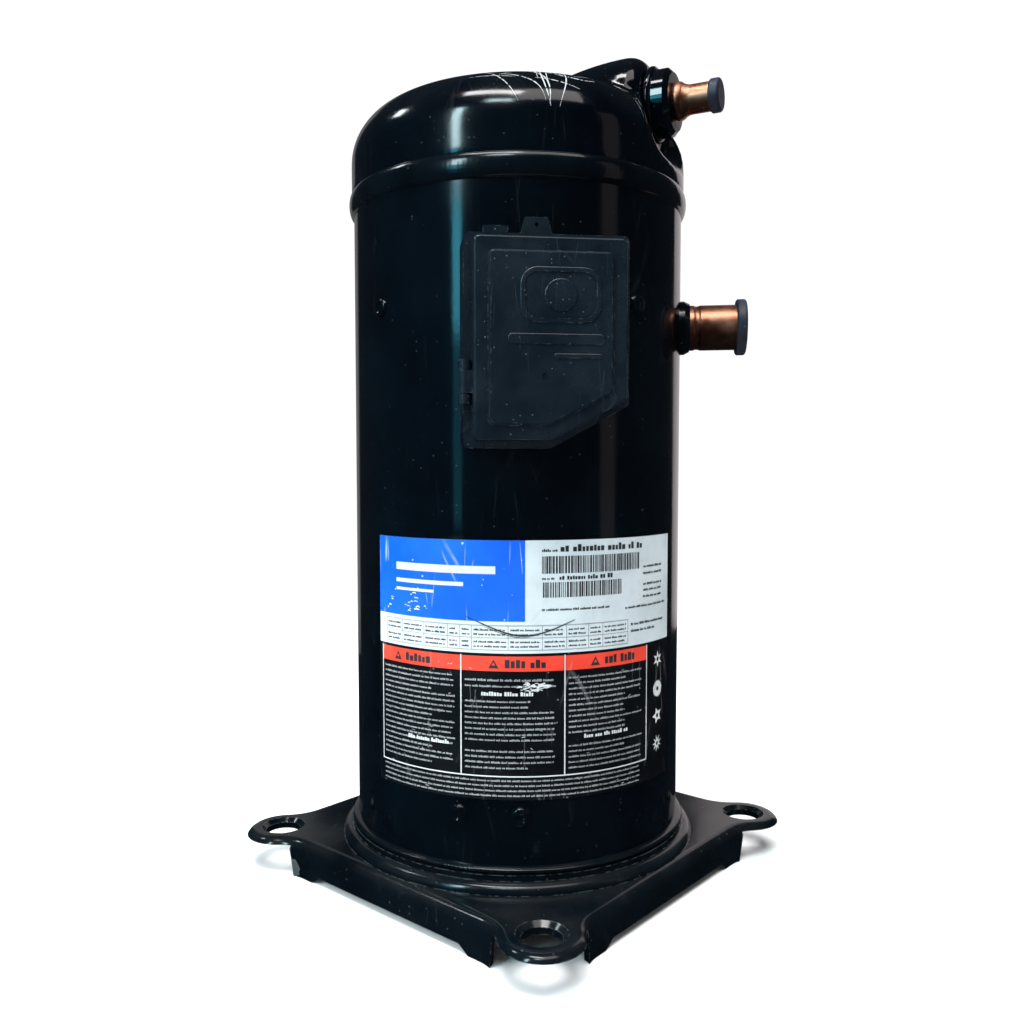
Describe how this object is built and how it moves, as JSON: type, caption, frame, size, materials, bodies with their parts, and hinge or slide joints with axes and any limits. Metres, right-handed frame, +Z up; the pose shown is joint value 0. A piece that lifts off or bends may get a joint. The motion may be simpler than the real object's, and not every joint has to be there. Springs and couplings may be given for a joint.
{
  "type": "scroll compressor",
  "caption": "Upright hermetic scroll compressor: a domed black steel cylinder on a square footed base, with a hinged terminal box, a printed nameplate and plugged copper ports.",
  "frame": {"origin": "On the shell axis, level with the underside of the base flanges, at the centre of the mounting square.", "axes": "+Z up along the shell and the crankshaft; the mounting square lies along X and Y; the terminal box and nameplate face the +X -Y corner; both ports point towards +X."},
  "size_m": [0.2304, 0.2304, 0.44],
  "materials": {
    "painted_steel": "gloss black paint over steel",
    "label_film": "printed film",
    "machined_steel": "turned or pressed steel",
    "copper": "drawn copper",
    "plug_rubber": "moulded black rubber",
    "black_plastic": "moulded black plastic",
    "seal_glass": "sealing glass",
    "zinc_screw": "zinc plated",
    "bearing_bronze": "sintered bronze",
    "cast_iron": "machined casting",
    "cast_aluminium": "cast",
    "lamination_steel": "stacked laminations",
    "winding_copper": "enamelled copper wire",
    "magnet_ceramic": "sintered ferrite"
  },
  "bodies": {
    "housing": {"mounting_base": "painted_steel", "center_shell": "painted_steel", "bottom_cap": "painted_steel", "top_cap": "painted_steel", "seam_weld": "painted_steel", "base_weld": "painted_steel", "upper_plug_welds": "painted_steel", "lower_plug_welds": "painted_steel", "nameplate": "label_film", "discharge_boss": "painted_steel", "check_valve_seat": "machined_steel", "discharge_tube": "copper", "suction_boss": "painted_steel", "suction_tube": "copper", "suction_baffle": "machined_steel", "terminal_box_base": "black_plastic", "hinge_pin": "machined_steel", "terminal_gasket": "plug_rubber", "terminal_cup": "machined_steel", "glass_seals": "seal_glass", "terminal_pins": "machined_steel", "ground_screw": "zinc_screw", "muffler_plate": "machined_steel", "relief_valve": "bearing_bronze", "main_bearing_housing": "cast_iron", "main_bearing_bush": "bearing_bronze", "scroll_sleeves": "machined_steel", "scroll_bolts": "zinc_screw", "stator_core": "lamination_steel", "stator_winding": "winding_copper", "motor_protector": "black_plastic", "lower_bearing_bracket": "machined_steel", "lower_bearing_bush": "bearing_bronze", "sump_magnet": "magnet_ceramic"},
    "crank": {"crankshaft": "cast_iron", "drive_bushing": "machined_steel", "oil_pickup": "machined_steel", "rotor_core": "lamination_steel", "rotor_end_rings": "cast_aluminium", "upper_counterweight": "cast_iron", "lower_counterweight": "cast_iron"},
    "orbiter": {"orbiting_scroll": "cast_iron", "orbiting_bush": "bearing_bronze"},
    "oldham": {"oldham_ring": "cast_aluminium"},
    "upper_scroll": {"fixed_scroll": "cast_iron"},
    "seal": {"floating_seal": "cast_iron"},
    "valve": {"check_valve_disc": "machined_steel"},
    "cover": {"terminal_cover": "black_plastic"},
    "suction_cap": {"suction_plug": "plug_rubber"},
    "discharge_cap": {"discharge_plug": "plug_rubber"}
  },
  "joints": [
    {"name": "crank_spin", "type": "hinge", "parent": "housing", "child": "crank", "pos_m": [0, 0, 0.2], "axis": [0, 0, 1], "continuous": true},
    {"name": "orbit", "type": "hinge", "parent": "crank", "child": "orbiter", "pos_m": [0.005, 0, 0.305], "axis": [0, 0, 1], "continuous": true},
    {"name": "oldham_slide", "type": "slide", "parent": "orbiter", "child": "oldham", "axis": [0, 1, 0], "range_m": [-0.005, 0.005]},
    {"name": "scroll_lift", "type": "slide", "parent": "housing", "child": "upper_scroll", "axis": [0, 0, 1], "range_m": [0, 0.0008]},
    {"name": "seal_lift", "type": "slide", "parent": "upper_scroll", "child": "seal", "axis": [0, 0, 1], "range_m": [0, 0.001]},
    {"name": "valve_lift", "type": "slide", "parent": "housing", "child": "valve", "axis": [0.9659, 0.2588, 0], "range_m": [0, 0.002]},
    {"name": "cover_hinge", "type": "hinge", "parent": "housing", "child": "cover", "pos_m": [0.05308, -0.09946, 0.2646], "axis": [0, 0, -1], "range_deg": [0, 110]},
    {"name": "suction_plug_pull", "type": "slide", "parent": "housing", "child": "suction_cap", "axis": [0.8434, 0.5373, 0], "range_m": [0, 0.02]},
    {"name": "discharge_plug_pull", "type": "slide", "parent": "housing", "child": "discharge_cap", "axis": [0.9659, 0.2588, 0], "range_m": [0, 0.02]}
  ],
  "couplings": [
    {"joint": "orbit", "follows": "crank_spin", "ratio": -1}
  ]
}
